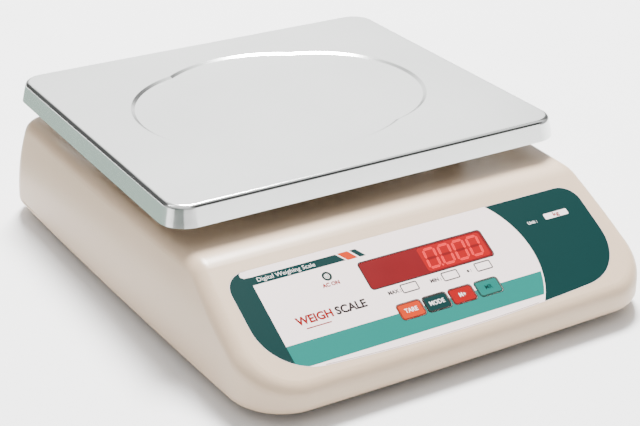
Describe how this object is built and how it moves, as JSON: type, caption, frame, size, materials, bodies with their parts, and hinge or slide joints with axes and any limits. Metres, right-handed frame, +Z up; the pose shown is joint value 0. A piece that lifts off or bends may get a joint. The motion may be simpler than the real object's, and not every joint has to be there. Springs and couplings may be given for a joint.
{
  "type": "tabletop weighing scale",
  "caption": "Tabletop weighing scale: stainless platter with a pressed recess on a beige wedge case, sloping panel with red display window and keys.",
  "frame": {"origin": "centre of the rectangle that the scale covers, at floor level", "axes": "+X to the operator's right, +Y away from the operator, +Z up"},
  "size_m": [0.3278, 0.3737, 0.101],
  "materials": {
    "case_plastic": "semi-gloss moulded",
    "stainless": "bright polished",
    "overlay_film": "printed satin film",
    "red_window": "clear red",
    "key_orange": "satin",
    "key_dark_teal": "satin",
    "key_red": "satin",
    "key_light_teal": "satin",
    "led_green": "clear",
    "rubber": "matt",
    "zinc_steel": "zinc plated",
    "painted_steel": "grey paint",
    "aluminium": "machined",
    "cast_aluminium": "as cast",
    "circuit_board": "solder mask",
    "black_plastic": "moulded",
    "sealant": "soft white",
    "laminations": "varnished",
    "coil_tape": "tape",
    "battery_case": "moulded",
    "brass": "bright"
  },
  "bodies": {
    "case": {"upper_housing": "case_plastic", "base_plate": "painted_steel", "housing_screws": "zinc_steel", "foot_nuts": "zinc_steel", "panel_overlay": "overlay_film", "display_window": "red_window", "display_board": "circuit_board", "display_modules": "black_plastic", "key_switches": "black_plastic", "ac_on_led": "led_green", "display_board_screws": "zinc_steel", "load_cell": "aluminium", "gauge_coating": "sealant", "cell_mount": "aluminium", "cell_mount_bolts": "zinc_steel", "overload_stops": "zinc_steel", "main_board": "circuit_board", "board_standoffs": "brass", "board_screws": "zinc_steel", "board_components": "black_plastic", "transformer_core": "laminations", "transformer_coil": "coil_tape", "battery": "battery_case", "battery_terminals": "brass", "battery_strap": "zinc_steel", "inlet_socket": "black_plastic", "inlet_pins": "brass", "switch_housing": "black_plastic"},
    "support": {"cell_spacer": "aluminium", "platter_support": "cast_aluminium", "support_bolts": "zinc_steel", "support_posts": "zinc_steel", "rubber_caps": "rubber"},
    "platter": {"platter": "stainless"},
    "key_tare": {"key_tare": "key_orange", "plunger_tare": "black_plastic"},
    "key_mode": {"key_mode": "key_dark_teal", "plunger_mode": "black_plastic"},
    "key_memory_add": {"key_memory_add": "key_red", "plunger_memory_add": "black_plastic"},
    "key_memory_recall": {"key_memory_recall": "key_light_teal", "plunger_memory_recall": "black_plastic"},
    "rocker": {"power_rocker": "black_plastic"},
    "foot_front_left": {"foot_front_left_pad": "rubber", "foot_front_left_stem": "zinc_steel"},
    "foot_front_right": {"foot_front_right_pad": "rubber", "foot_front_right_stem": "zinc_steel"},
    "foot_back_left": {"foot_back_left_pad": "rubber", "foot_back_left_stem": "zinc_steel"},
    "foot_back_right": {"foot_back_right_pad": "rubber", "foot_back_right_stem": "zinc_steel"}
  },
  "joints": [
    {"name": "load_cell_flex", "type": "slide", "parent": "case", "child": "support", "axis": [0, 0, -1], "range_m": [0, 0.0005], "stiffness_N_per_m": 200000, "springref_m": -0.0001, "deforming": ["load_cell"]},
    {"name": "platter_lift_off", "type": "slide", "parent": "support", "child": "platter", "axis": [0, 0, 1], "range_m": [0, 0.04]},
    {"name": "key_tare_press", "type": "slide", "parent": "case", "child": "key_tare", "axis": [0, 0.4804, -0.8771], "range_m": [0, 0.0005], "stiffness_N_per_m": 3000, "springref_m": -0.0003},
    {"name": "key_mode_press", "type": "slide", "parent": "case", "child": "key_mode", "axis": [0, 0.4804, -0.8771], "range_m": [0, 0.0005], "stiffness_N_per_m": 3000, "springref_m": -0.0003},
    {"name": "key_memory_add_press", "type": "slide", "parent": "case", "child": "key_memory_add", "axis": [0, 0.4804, -0.8771], "range_m": [0, 0.0005], "stiffness_N_per_m": 3000, "springref_m": -0.0003},
    {"name": "key_memory_recall_press", "type": "slide", "parent": "case", "child": "key_memory_recall", "axis": [0, 0.4804, -0.8771], "range_m": [0, 0.0005], "stiffness_N_per_m": 3000, "springref_m": -0.0003},
    {"name": "power_rocker_tilt", "type": "hinge", "parent": "case", "child": "rocker", "pos_m": [0.108, 0.17872, 0.03562], "axis": [-1, 0, 0], "range_deg": [0, 16]},
    {"name": "foot_front_left_height", "type": "slide", "parent": "case", "child": "foot_front_left", "axis": [0, 0, -1], "range_m": [0, 0.006]},
    {"name": "foot_front_right_height", "type": "slide", "parent": "case", "child": "foot_front_right", "axis": [0, 0, -1], "range_m": [0, 0.006]},
    {"name": "foot_back_left_height", "type": "slide", "parent": "case", "child": "foot_back_left", "axis": [0, 0, -1], "range_m": [0, 0.006]},
    {"name": "foot_back_right_height", "type": "slide", "parent": "case", "child": "foot_back_right", "axis": [0, 0, -1], "range_m": [0, 0.006]}
  ]
}
